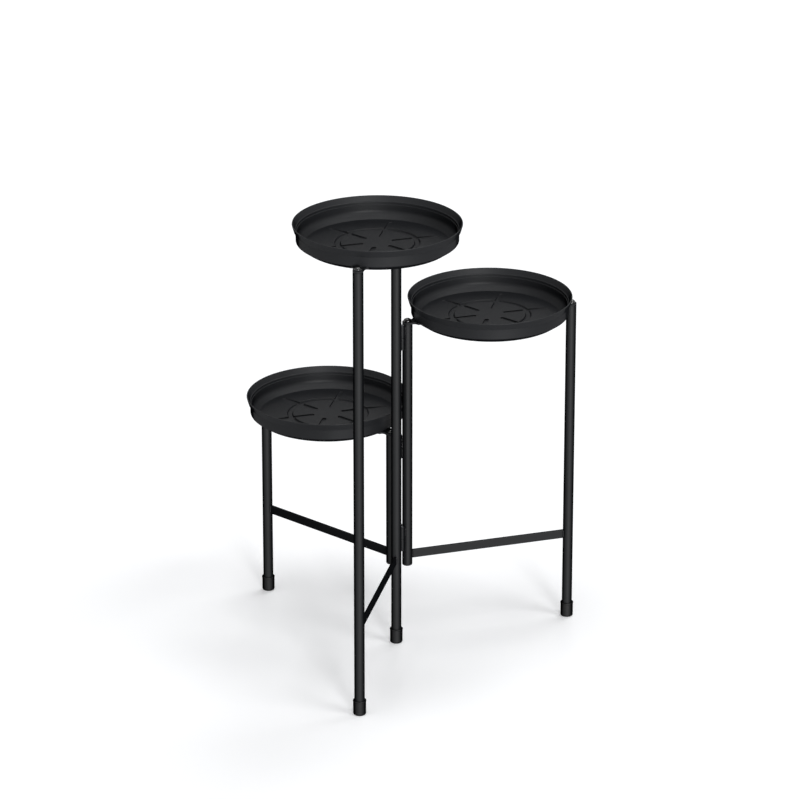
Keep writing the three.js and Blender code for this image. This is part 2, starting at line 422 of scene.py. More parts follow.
def add_node(
    owner: bpy.types.Material | bpy.types.World,
    kind: str,
    inputs: dict[str | int, object] | None = None,
    **settings: object,
) -> bpy.types.Node:
    """Adds a shader node with its settings and links.

    Args:
        owner: The material or world that gets the node.
        kind: Blender's name of the node type.
        inputs: Value or source socket of each input, by name or index.
        **settings: Properties of the node itself.

    Returns:
        The new node.
    """
    tree = owner.node_tree
    made = tree.nodes.new(kind)
    for name, value in settings.items():
        setattr(made, name, value)
    for socket, value in (inputs or {}).items():
        if isinstance(value, bpy.types.NodeSocket):
            tree.links.new(value, made.inputs[socket])
        else:
            made.inputs[socket].default_value = value
    return made


def empty_material(name: str) -> bpy.types.Material:
    """Makes a material without nodes.

    Args:
        name: Name of the material.

    Returns:
        The new material.
    """
    material = bpy.data.materials.new(name)
    material.use_nodes = True
    material.node_tree.nodes.clear()
    return material


@dataclass(frozen=True)
class MouldedFinish:
    """A finish whose colour drifts a little and whose skin has two sizes of fine relief.

    Attributes:
        name: Material and process.
        dark: Darkest colour of the drift.
        pale: Palest colour of the drift.
        drift: Size of the drift in millimetres.
        roughness: Roughness of the smoothest and of the dullest places.
        sheen_level: Specular level, where 0.5 is an uncoated dielectric.
        ior: Refractive index.
        metallic: Share of bare metal.
        relief: Size of the skin's relief in millimetres.
        relief_depth: Depth of that relief in millimetres.
        wave: Size of the slow waves under it in millimetres.
        wave_depth: Depth of the waves in millimetres.
        gloss_fade: Facing values between which a finely textured skin loses its gloss.
    """

    name: str
    dark: str
    pale: str
    drift: float
    roughness: Point
    sheen_level: float
    ior: float
    metallic: float
    relief: float
    relief_depth: float
    wave: float
    wave_depth: float
    gloss_fade: Point | None = None

    def gloss(self, made: bpy.types.Material) -> float | bpy.types.NodeSocket:
        """Finds the specular level, which may fade as the skin turns edge-on.

        Args:
            made: The material that gets the nodes of the fade.

        Returns:
            One value, or the socket of the fade.
        """
        if self.gloss_fade is None:
            return self.sheen_level
        turn = add_node(made, "ShaderNodeLayerWeight", {"Blend": 0.5})
        start, end = self.gloss_fade
        fade = add_node(
            made,
            "ShaderNodeMapRange",
            {
                "Value": turn.outputs["Facing"],
                "From Min": start,
                "From Max": end,
                "To Min": self.sheen_level,
                "To Max": 0.0,
            },
        )
        return fade.outputs["Result"]

    def material(self) -> bpy.types.Material:
        """Builds the finish once.

        Returns:
            The material, new or already there.
        """
        known = bpy.data.materials.get(self.name)
        if known:
            return known
        made = empty_material(self.name)
        place = add_node(made, "ShaderNodeTexCoord").outputs["Object"]
        clouds = add_node(
            made,
            "ShaderNodeTexNoise",
            {"Vector": place, "Scale": per_metre(self.drift), "Detail": 4.0, "Roughness": 0.55},
        )
        colour = add_node(
            made,
            "ShaderNodeMix",
            {
                MIX_SHARE: clouds.outputs["Fac"],
                MIX_FIRST: linear(self.dark),
                MIX_SECOND: linear(self.pale),
            },
            data_type="RGBA",
        )
        grain = add_node(
            made,
            "ShaderNodeTexNoise",
            {"Vector": place, "Scale": per_metre(self.relief), "Detail": 2.0, "Roughness": 0.5},
        )
        waves = add_node(
            made,
            "ShaderNodeTexNoise",
            {"Vector": place, "Scale": per_metre(self.wave), "Detail": 1.0, "Roughness": 0.4},
        )
        dullness = add_node(
            made,
            "ShaderNodeMapRange",
            {
                "Value": grain.outputs["Fac"],
                "From Min": 0.35,
                "From Max": 0.65,
                "To Min": self.roughness[0],
                "To Max": self.roughness[1],
            },
        )
        slow = add_node(
            made,
            "ShaderNodeBump",
            {"Height": waves.outputs["Fac"], "Distance": self.wave_depth * MM, "Strength": 1.0},
        )
        fine = add_node(
            made,
            "ShaderNodeBump",
            {
                "Height": grain.outputs["Fac"],
                "Distance": self.relief_depth * MM,
                "Strength": 1.0,
                "Normal": slow.outputs["Normal"],
            },
        )
        shader = add_node(
            made,
            "ShaderNodeBsdfPrincipled",
            {
                "Base Color": colour.outputs[MIX_RESULT],
                "Roughness": dullness.outputs["Result"],
                "Normal": fine.outputs["Normal"],
                "Metallic": self.metallic,
                "IOR": self.ior,
                "Specular IOR Level": self.gloss(made),
            },
        )
        add_node(made, "ShaderNodeOutputMaterial", {"Surface": shader.outputs["BSDF"]})
        return made


# Polyester powder baked on steel tube: satin black, with the faint orange peel of the flow.
SATIN_POWDER_COAT = MouldedFinish(
    name="satin_polyester_powder_coat",
    dark="#0f1011",
    pale="#151618",
    drift=60,
    roughness=(0.44, 0.50),
    sheen_level=0.34,
    ior=1.5,
    metallic=0.0,
    relief=1.4,
    relief_depth=0.012,
    wave=9,
    wave_depth=0.03,
    gloss_fade=(0.05, 0.34),
)

# Injection-moulded polypropylene: soft sheen over a fine spark-eroded grain.
MOULDED_POLYPROPYLENE = MouldedFinish(
    name="moulded_polypropylene",
    dark="#18191b",
    pale="#1f2022",
    drift=45,
    roughness=(0.46, 0.54),
    sheen_level=0.20,
    ior=1.49,
    metallic=0.0,
    relief=0.9,
    relief_depth=0.012,
    wave=24,
    wave_depth=0.04,
    gloss_fade=(0.05, 0.75),
)

# Baked gloss enamel on a domed steel head: deep black with sharp reflections.
GLOSS_ENAMEL = MouldedFinish(
    name="gloss_black_enamel",
    dark="#060607",
    pale="#0b0b0c",
    drift=6,
    roughness=(0.14, 0.20),
    sheen_level=0.5,
    ior=1.52,
    metallic=0.0,
    relief=1.2,
    relief_depth=0.001,
    wave=4,
    wave_depth=0.004,
)

# Compression-moulded rubber: soft black, with the faint gloss of a new ferrule.
MOULDED_RUBBER = MouldedFinish(
    name="moulded_rubber",
    dark="#0b0b0c",
    pale="#131314",
    drift=12,
    roughness=(0.42, 0.54),
    sheen_level=0.34,
    ior=1.52,
    metallic=0.0,
    relief=0.7,
    relief_depth=0.02,
    wave=8,
    wave_depth=0.03,
    gloss_fade=(0.05, 0.34),
)

# Moulded polyethylene: waxy black with a low sheen.
MOULDED_POLYETHYLENE = MouldedFinish(
    name="moulded_polyethylene",
    dark="#141415",
    pale="#1b1c1d",
    drift=10,
    roughness=(0.5, 0.6),
    sheen_level=0.45,
    ior=1.51,
    metallic=0.0,
    relief=0.8,
    relief_depth=0.01,
    wave=6,
    wave_depth=0.01,
)

# Moulded nylon inside the tube tops, where only the screws meet it.
MOULDED_NYLON = MouldedFinish(
    name="moulded_nylon",
    dark="#1c1c1e",
    pale="#262628",
    drift=8,
    roughness=(0.45, 0.55),
    sheen_level=0.5,
    ior=1.53,
    metallic=0.0,
    relief=0.6,
    relief_depth=0.008,
    wave=5,
    wave_depth=0.01,
)

# Steel pin with a black oxide skin: dark, faintly metallic, a little rubbed.
BLACKENED_STEEL = MouldedFinish(
    name="blackened_steel",
    dark="#1b1c1e",
    pale="#34363a",
    drift=2.5,
    roughness=(0.3, 0.46),
    sheen_level=0.5,
    ior=1.5,
    metallic=0.8,
    relief=0.8,
    relief_depth=0.006,
    wave=5,
    wave_depth=0.01,
)


@dataclass(frozen=True)
class StudioFloor:
    """Matt white studio board, lit evenly, that keeps the stand's soft shadows.

    Attributes:
        name: Material and process.
        colour: The board as the camera and reflections see it.
        bounce: The board as it throws light back on the stand.
        lift: White that the camera and reflections see on top, up to plain white.
        tooth: Size of the board's texture in millimetres.
        tooth_depth: Depth of that texture in millimetres.
    """

    name: str = "matt_white_board"
    colour: str = "#eeeff1"
    bounce: str = "#7c7d7f"
    lift: float = 0.25
    tooth: float = 3.0
    tooth_depth: float = 0.02

    def material(self) -> bpy.types.Material:
        """Builds the floor's material, clear from below.

        Returns:
            The new material.
        """
        made = empty_material(self.name)
        path = add_node(made, "ShaderNodeLightPath").outputs
        grain = add_node(
            made,
            "ShaderNodeTexNoise",
            {
                "Vector": add_node(made, "ShaderNodeTexCoord").outputs["Object"],
                "Scale": per_metre(self.tooth),
            },
        )
        bump = add_node(
            made,
            "ShaderNodeBump",
            {"Height": grain.outputs["Fac"], "Distance": self.tooth_depth * MM},
        )
        seen = seen_directly(made, path)
        colour = add_node(
            made,
            "ShaderNodeMix",
            {
                MIX_SHARE: seen,
                MIX_FIRST: linear(self.bounce),
                MIX_SECOND: linear(self.colour),
            },
            data_type="RGBA",
        )
        board = add_node(
            made,
            "ShaderNodeBsdfDiffuse",
            {"Color": colour.outputs[MIX_RESULT], "Normal": bump.outputs["Normal"]},
        )
        share = add_node(made, "ShaderNodeMath", {0: seen, 1: self.lift}, operation="MULTIPLY")
        glow = add_node(made, "ShaderNodeEmission", {"Strength": share.outputs[0]})
        lit = add_node(made, "ShaderNodeAddShader", {0: board.outputs[0], 1: glow.outputs[0]})
        clear = add_node(made, "ShaderNodeBsdfTransparent")
        below = add_node(made, "ShaderNodeNewGeometry").outputs["Backfacing"]
        sided = add_node(
            made, "ShaderNodeMixShader", {0: below, 1: lit.outputs[0], 2: clear.outputs[0]}
        )
        add_node(made, "ShaderNodeOutputMaterial", {"Surface": sided.outputs[0]})
        return made


def seen_directly(
    owner: bpy.types.Material | bpy.types.World, path: bpy.types.NodeOutputs
) -> bpy.types.NodeSocket:
    """Adds up the camera, glossy and transmission rays.

    Args:
        owner: Material or world that gets the nodes.
        path: Outputs of its Light Path node.

    Returns:
        The socket that is 1 for these rays and 0 for the others.
    """
    pair = add_node(
        owner,
        "ShaderNodeMath",
        {0: path["Is Camera Ray"], 1: path["Is Glossy Ray"]},
        operation="ADD",
    )
    total = add_node(
        owner,
        "ShaderNodeMath",
        {0: pair.outputs[0], 1: path["Is Transmission Ray"]},
        operation="ADD",
        use_clamp=True,
    )
    return total.outputs[0]


# ------------------------------------------------------------------ where pieces belong

BODY_OF = {
    node: body for body, nodes in frame["record"]["behaviour"]["bodies"].items() for node in nodes
}


def axis_of(node: str) -> Vector:
    """Finds where the upright axis of a CAD node meets the floor.

    Args:
        node: Name of the node.

    Returns:
        The place under the middle of its box, in metres.
    """
    low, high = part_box(node)
    centre = (low + high) / 2
    return Vector((centre.x, centre.y, 0))


def hand_over(piece: bpy.types.Object, node: str, finish: MouldedFinish) -> None:
    """Dresses a finished piece and lets it stand for its CAD node.

    Args:
        piece: The finished mesh.
        node: The CAD node that it replaces.
        finish: Its finish.
    """
    piece.data.materials.clear()
    piece.data.materials.append(finish.material())
    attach(piece, BODY_OF[node])
    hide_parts(node)
    log.info("%s: %d faces, for %s", piece.name, len(piece.data.polygons), node)


@dataclass(frozen=True)
class FramePlan:
    """Names and place of one flat frame.

    Attributes:
        name: Name of the frame.
        tier: Name of its tier.
        inner: Node of the post at the hub.
        outer: Node of the leg at the outside.
        inner_foot: Node of the foot under the inner post, where it has one.
        joins: Frame that it hinges on, where it has one.
    """

    name: str
    tier: str
    inner: str
    outer: str
    inner_foot: str | None = None
    joins: str | None = None

    @property
    def hub_end(self) -> Vector:
        """Axis of the inner post at floor height."""
        return axis_of(self.inner)

    @property
    def far_end(self) -> Vector:
        """Axis of the outer leg at floor height."""
        return axis_of(self.outer)

    @property
    def heading(self) -> float:
        """Direction from the inner post to the outer leg, in radians."""
        span = self.far_end - self.hub_end
        return math.atan2(span.y, span.x)


TALL = FramePlan("tall", "top", "tall_rear_leg", "tall_front_leg", inner_foot="tall_rear_foot")
MIDDLE = FramePlan("middle", "middle", "middle_inner_post", "middle_outer_leg", joins="tall")
LOW = FramePlan("low", "low", "low_inner_post", "low_outer_leg", joins="middle")
FRAMES = (TALL, MIDDLE, LOW)


# ------------------------------------------------------------------ sub-assemblies


@dataclass
class TubeWork:
    """The round steel tubes of one frame and the flat bar welded between them.

    Attributes:
        plan: The frame.
        radius: Outer radius of the tubes.
        wall: Thickness of their wall.
        spacing: Distance between their axes.
        end_rounding: Rounding of their cut ends.
        sides: Facets round a tube.
        bar_thickness: Thickness of the bar.
        bar_sink: How far the bar reaches into the tubes.
        bar_edge: Rounding of the bar's edges.
        bead_radius: Radius of a weld bead between its ripples.
        bead_ripple: Height of the ripples.
        bead_pitch: Distance between ripples.
        bead_chords: Chords in each ripple.
        bead_sides: Facets round a bead.
        bead_taper: Steepness of a bead's ends, where 1 is a cone as long as the bead.
        bead_offset: Distance of a bead's axis from the faces that it joins.
        bead_margin: Bare length of the bar above and below a bead.
    """

    plan: FramePlan
    radius: float = 8.0
    wall: float = 1.2
    spacing: float = 267.0
    end_rounding: float = 0.3
    sides: int = 72
    bar_thickness: float = 3.5
    bar_sink: float = 0.15
    bar_edge: float = 0.5
    bead_radius: float = 1.0
    bead_ripple: float = 0.16
    bead_pitch: float = 1.5
    bead_chords: int = 4
    bead_sides: int = 14
    bead_taper: float = 6.6
    bead_offset: float = 0.35
    bead_margin: float = 0.6

    def tube(self, node: str) -> bpy.types.Object:
        """Turns one tube with its bore, as long as its CAD node.

        Args:
            node: Name of the node.

        Returns:
            The tube in its place.
        """
        low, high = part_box(node)
        bottom, top = low.z / MM, high.z / MM
        bore = self.radius - self.wall
        edge = self.end_rounding
        half = (bottom + top) / 2
        section = rounded(
            [
                (self.radius, half, 0),
                (self.radius, top, edge),
                (bore, top, edge),
                (bore, bottom, edge),
                (self.radius, bottom, edge),
                (self.radius, half, 0),
            ],
            chord_turn=30,
        )
        piece = turned(f"{node}_tube", section, self.sides)
        shade(piece)
        return placed(piece, axis_of(node))

    def bead(self, length: float) -> bpy.types.Object:
        """Turns a short rippled weld bead that stands on Z = 0.

        Args:
            length: Length of the bead.

        Returns:
            The bead on the Z axis.
        """
        steps = round(length / self.bead_pitch) * self.bead_chords
        section: list[Point] = [(0, 0)]
        for step in range(1, steps):
            height = length * step / steps
            ripple = abs(math.sin(math.pi * height / self.bead_pitch))
            taper = min(1, self.bead_taper * min(step, steps - step) / steps)
            section.append(((self.bead_radius + self.bead_ripple * ripple) * taper, height))
        section.append((0, length))
        return turned("weld_bead", section, self.bead_sides)

    def bar(self) -> bpy.types.Object:
        """Shapes the flat bar from one tube to the other and welds it to them.

        Returns:
            The bar in its place.
        """
        low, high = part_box(f"{self.plan.name}_brace")
        bottom, top = low.z / MM, high.z / MM
        start = self.radius - self.bar_sink
        end = self.spacing - start
        side = self.bar_thickness / 2
        outline = [(start, -side), (end, -side), (end, side), (start, side)]
        piece = plate(f"{self.plan.name}_brace_bar", outline, bottom, top)
        soften(piece, self.bar_edge, segments=3)
        near = self.radius + self.bead_offset
        beside = side + self.bead_offset
        for along in (near, self.spacing - near):
            for across in (-beside, beside):
                bead = self.bead(top - bottom - 2 * self.bead_margin)
                place = Vector((along, across, bottom + self.bead_margin)) * MM
                combine(piece, placed(bead, place), Operation.ADD)
        shade(piece)
        return placed(piece, self.plan.hub_end, self.plan.heading)

    def build(self) -> None:
        """Builds both tubes and the bar of the frame."""
        for node in (self.plan.inner, self.plan.outer):
            hand_over(self.tube(node), node, SATIN_POWDER_COAT)
        node = f"{self.plan.name}_brace"
        hand_over(self.bar(), node, SATIN_POWDER_COAT)


@dataclass
class EndCaps:
    """The rubber feet of one frame, and the plug in its hanging post."""

    plan: FramePlan
    tube_radius: float = 8.0
    tube_wall: float = 1.2
    foot_radius: float = 9.9
    foot_height: float = 23.5
    foot_floor: float = 3.0
    foot_edge: float = 2.5
    lip: float = 0.4
    lip_height: float = 2.2
    plug_lip: float = 2.5
    plug_stem: float = 14.0
    fit: float = 0.1
    sides: int = 72

    def foot(self) -> bpy.types.Object:
        """Turns one ferrule with a rounded ground edge and a beaded mouth.

        Returns:
            The ferrule on the Z axis.
        """
        bead = self.foot_radius + self.lip
        mouth = self.foot_height - self.lip_height
        bore = self.tube_radius + self.fit
        section = rounded(
            [
                (0, 0, 0),
                (self.foot_radius, 0, self.foot_edge),
                (self.foot_radius, mouth, 0.3),
                (bead, mouth + self.lip, 0.3),
                (bead, self.foot_height, 0.6),
                (bore, self.foot_height, 0.5),
                (bore, self.foot_floor, 0.4),
                (0, self.foot_floor, 0),
            ]
        )
        piece = turned("foot", section, self.sides)
        shade(piece)
        return piece

    def plug(self, bottom: float) -> bpy.types.Object:
        """Turns the closed plug with its rounded lip.

        Args:
            bottom: Height of its lower face.

        Returns:
            The plug on the Z axis.
        """
        stem = self.tube_radius - self.tube_wall - self.fit
        lip_top = bottom + self.plug_lip
        section = rounded(
            [
                (0, bottom, 0),
                (self.tube_radius, bottom, self.plug_lip * 0.9),
                (self.tube_radius, lip_top, 0.15),
                (stem, lip_top, 0),
                (stem, lip_top + self.plug_stem, 0.8),
                (0, lip_top + self.plug_stem, 0),
            ]
        )
        piece = turned("plug", section, self.sides)
        shade(piece)
        return piece

    def build(self) -> None:
        """Builds the feet and the plug of the frame."""
        feet = {f"{self.plan.outer.removesuffix('_leg')}_foot": self.plan.far_end}
        if self.plan.inner_foot:
            feet[self.plan.inner_foot] = self.plan.hub_end
        for node, place in feet.items():
            piece = self.foot()
            piece.name = f"{node}_ferrule"
            hand_over(placed(piece, place), node, MOULDED_RUBBER)
        if self.plan.joins:
            node = f"{self.plan.name}_end_plug"
            piece = self.plug(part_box(node)[0].z / MM)
            piece.name = f"{node}_cap"
            place = placed(piece, self.plan.hub_end)
            hand_over(place, node, MOULDED_POLYETHYLENE)


@dataclass
class SaucerTier:
    """A moulded saucer, screwed to both tube tops of one frame.

    The chamfer is the sloping foot of the wall, the crown is how far the floor's middle lies above
    its edge, the band is the wider part under the rim, and the seat is the step inside behind it.
    """

    plan: FramePlan
    radius: float = 127.0
    height: float = 34.8
    wall: float = 2.2
    wall_radius: float = 121.4
    wall_lean: float = 0.2
    chamfer_run: float = 11.8
    chamfer_rise: float = 8.2
    crown: float = 2.2
    band_height: float = 10.2
    band_step: float = 2.6
    band_wall: float = 2.7
    rim_edge: float = 1.7
    seat_wall: float = 1.4
    seat_height: float = 3.6
    groove_depth: float = 2.4
    ring_radius: float = 59.2
    ring_width: float = 9.2
    groove_slope: float = 1.2
    spokes: int = 6
    spoke_width: float = 7.0
    spoke_inner: float = 22.0
    spoke_outer: float = 97.0
    groove_round: float = 1.0
    spacing: float = 267.0
    lug_rise: float = 4.8
    lug_thickness: float = 3.0
    lug_half: float = 8.0
    lug_flare: float = 6.0
    hole_radius: float = 2.8
    edge: float = 0.45
    sides: int = 144
    dome_radius: float = 6.25
    dome_height: float = 5.5
    dome_skirt: float = 0.9
    dome_edge: float = 0.3
    dome_steps: int = 18
    screw_length: float = 16.0
    screw_shank: float = 2.5
    screw_tip: float = 0.6
    screw_sides: int = 64
    hole_sides: int = 24
    lug_gap: float = 0.3
    screw_gap: float = 0.02
    ridge_sink: float = 0.4
    groove_lift: float = 0.03
    overshoot: float = 1.0

    @property
    def floor_top(self) -> float:
        """Height of the middle of the floor above the saucer's underside."""
        return self.crown + self.wall

    @property
    def wall_slant(self) -> float:
        """Plan width of the wall where it slopes."""
        slope = math.hypot(self.chamfer_run, self.chamfer_rise)
        return self.wall * slope / self.chamfer_rise

    def outside(self) -> list[Point]:
        """Draws the shell's outside, closed over the rim.

        Returns:
            Its half-section.
        """
        band = self.height - self.band_height
        top = self.wall_radius + self.wall_lean
        outer = self.ring_radius + self.ring_width / 2
        inner = self.ring_radius - self.ring_width / 2
        flank = (self.wall - self.groove_slope) / 2
        return rounded(
            [
                (0, self.crown, 0),
                (inner - flank, self.crown, 0.6),
                (inner + flank, 0, 0.6),
                (outer - flank, 0, 0.6),
                (outer + flank, self.crown, 0.6),
                (self.wall_radius - self.chamfer_run, 0, 1.6),
                (self.wall_radius, self.chamfer_rise, 1.4),
                (top, band - self.band_step / 4, 0.5),
                (top + self.band_step, band, 0.7),
                (self.radius + 0.2, self.height, 0.8),
                (0, self.height, 0),
            ]
        )

    def inside(self) -> list[Point]:
        """Draws the space inside the shell, closed above the rim.

        Returns:
            Its half-section.
        """
        band = self.height - self.band_height + self.wall
        top = self.wall_radius + self.wall_lean
        outer = self.ring_radius + self.ring_width / 2
        inner = self.ring_radius - self.ring_width / 2
        foot = self.floor_top - self.groove_depth
        edge = self.wall_radius + self.wall * self.chamfer_run / self.chamfer_rise
        edge -= self.chamfer_run + self.wall_slant
        upright = self.wall_radius - self.wall
        rise = self.wall + (upright - edge) * self.chamfer_rise / self.chamfer_run
        seat = top - self.seat_wall
        seat_top = band - self.band_step / 4
        seat_foot = seat_top - self.seat_height
        mouth = self.radius - self.rim_edge
        lid = self.height + self.overshoot
        return rounded(
            [
                (0, self.floor_top, 0),
                (inner, self.floor_top, 0.5),
                (inner + self.groove_slope, foot, 0.6),
                (outer - self.groove_slope, foot, 0.6),
                (outer, self.floor_top, 0.5),
                (edge, self.wall, 1.0),
                (upright, rise, 9.0),
                (upright, seat_foot - (seat - upright) / 2, 0.3),
                (seat, seat_foot, 0.3),
                (seat, seat_top, 0.3),
                (top + self.band_step - self.band_wall, band, 0.5),
                (mouth, self.height, 0),
                (mouth, lid, 0),
                (0, lid, 0),
            ]
        )

    def slot_outline(self, extra: float) -> list[Point]:
        """Draws a round-ended slot along +X.

        Args:
            extra: How much wider than a groove it is all round.

        Returns:
            Its outline in plan.
        """
        half = self.spoke_width / 2
        far = arc((self.spoke_outer - half, 0), half + extra, -90, 90, 12)
        near = arc((self.spoke_inner + half, 0), half + extra, 90, 270, 12)
        return far + near

    def ridges(self) -> bpy.types.Object:
        """Shapes the ridges that the radial grooves raise under the floor.

        Returns:
            All of them about the Z axis.
        """
        top = self.floor_top - self.ridge_sink
        piece = plate("ridges", self.slot_outline(self.wall / 2), self.groove_lift, top)
        bevel_level(piece, self.groove_lift, self.groove_round)
        return around(piece, self.spokes)

    def grooves(self) -> bpy.types.Object:
        """Shapes the cutter for the radial grooves in the floor.

        Returns:
            The cutter about the Z axis.
        """
        foot = self.floor_top - self.groove_depth + self.groove_lift
        top = self.floor_top + 2 * self.overshoot
        piece = plate("grooves", self.slot_outline(0), foot, top)
        bevel_level(piece, foot, self.groove_round)
        return around(piece, self.spokes)

    def lugs(self) -> bpy.types.Object:
        """Shapes the two screw lugs, which flare into the wall and end inside it.

        Returns:
            Both lugs, along X.
        """
        reach = self.spacing / 2
        root = self.wall_radius - self.chamfer_run
        side = self.lug_half + self.lug_flare
        shoulder = math.degrees(math.asin(side / root))
        flare = math.sqrt((self.wall_radius + self.lug_flare) ** 2 - side**2)
        outline = arc((reach, 0), self.lug_half, -90, 90, 20)
        outline += arc((flare, side), self.lug_flare, -90, -180 + shoulder, 8)
        outline += arc((0, 0), root, shoulder, -shoulder, 8)
        outline += arc((flare, -side), self.lug_flare, 180 - shoulder, 90, 8)
        top = self.lug_rise + self.lug_thickness
        piece = around(plate("lugs", outline, self.lug_rise, top), 2)

        # A cone down the middle of the sloping wall trims their roots.
        foot = self.wall_radius - self.chamfer_run - self.wall_slant / 2
        lid = top + self.overshoot
        mouth = foot + self.chamfer_run * lid / self.chamfer_rise
        trimmer = turned("trimmer", [(0, 0), (foot, 0), (mouth, lid), (0, lid)], self.sides)
        combine(piece, trimmer, Operation.CUT)
        return piece

    def holes(self) -> bpy.types.Object:
        """Shapes the cutters for the two screw holes.

        Returns:
            Both cutters, along X.
        """
        chords = self.hole_sides - 1
        last = 360 * chords / self.hole_sides
        outline = arc((self.spacing / 2, 0), self.hole_radius, 0, last, chords)
        foot = self.lug_rise - self.overshoot
        top = self.lug_rise + self.lug_thickness + self.overshoot
        return around(plate("holes", outline, foot, top), 2)

    def shell(self) -> bpy.types.Object:
        """Moulds the saucer with its lugs along X.

        Returns:
            The saucer at the origin.
        """
        piece = turned("saucer", self.outside(), self.sides)
        combine(piece, self.ridges(), Operation.ADD)
        combine(piece, turned("space", self.inside(), self.sides), Operation.CUT)
        combine(piece, self.grooves(), Operation.CUT)
        combine(piece, self.lugs(), Operation.ADD)
        combine(piece, self.holes(), Operation.CUT)
        put_in_order(piece)
        with editing(piece):
            bpy.ops.mesh.remove_doubles(threshold=0.02 * MM)
            bpy.ops.mesh.dissolve_limited(angle_limit=math.radians(0.2))
        soften(piece, self.edge)
        shade(piece)
        return piece

    def screw(self) -> bpy.types.Object:
        """Turns one dome-headed screw whose head rests on Z = 0.

        Returns:
            The screw at the origin.
        """
        crown = self.dome_height - self.dome_skirt
        reach = self.dome_radius
        tip = -self.screw_length
        section = [(0, tip), (self.screw_shank - self.screw_tip, tip)]
        section += [(self.screw_shank, tip + self.screw_tip), (self.screw_shank, 0)]
        section += [(reach - self.dome_edge, 0), (reach, self.dome_edge)]
        for step in range(self.dome_steps):
            angle = math.pi / 2 * step / self.dome_steps
            height = self.dome_skirt + crown * math.sin(angle)
            section.append((reach * math.cos(angle), height))
        section.append((0, self.dome_height))
        piece = turned("screw", section, self.screw_sides)
        shade(piece)
        return piece

    def build(self, shell: bpy.types.Object, screw: bpy.types.Object) -> None:
        """Sets copies of the shell and the screw in place.

        Args:
            shell: The saucer at the origin.
            screw: The screw at the origin.
        """
        middle = (self.plan.hub_end + self.plan.far_end) / 2
        tube_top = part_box(self.plan.outer)[1].z / MM
        lug_top = tube_top + self.lug_gap + self.lug_thickness
        under = lug_top - self.lug_rise - self.lug_thickness
        node = f"{self.plan.tier}_saucer"
        piece = copied(shell, f"{node}_moulding")
        place = middle + Vector((0, 0, under * MM))
        placed(piece, place, self.plan.heading)
        hand_over(piece, node, MOULDED_POLYPROPYLENE)
        for end, spot in (("inner", self.plan.hub_end), ("outer", self.plan.far_end)):
            node = f"{self.plan.tier}_{end}_screw"
            piece = copied(screw, f"{node}_dome")
            placed(piece, spot + Vector((0, 0, (lug_top + self.screw_gap) * MM)))
            hand_over(piece, node, GLOSS_ENAMEL)
            insert = frame["nodes"][f"{self.plan.tier}_{end}_insert"]
            insert.data.materials.clear()
            insert.data.materials.append(MOULDED_NYLON.material())


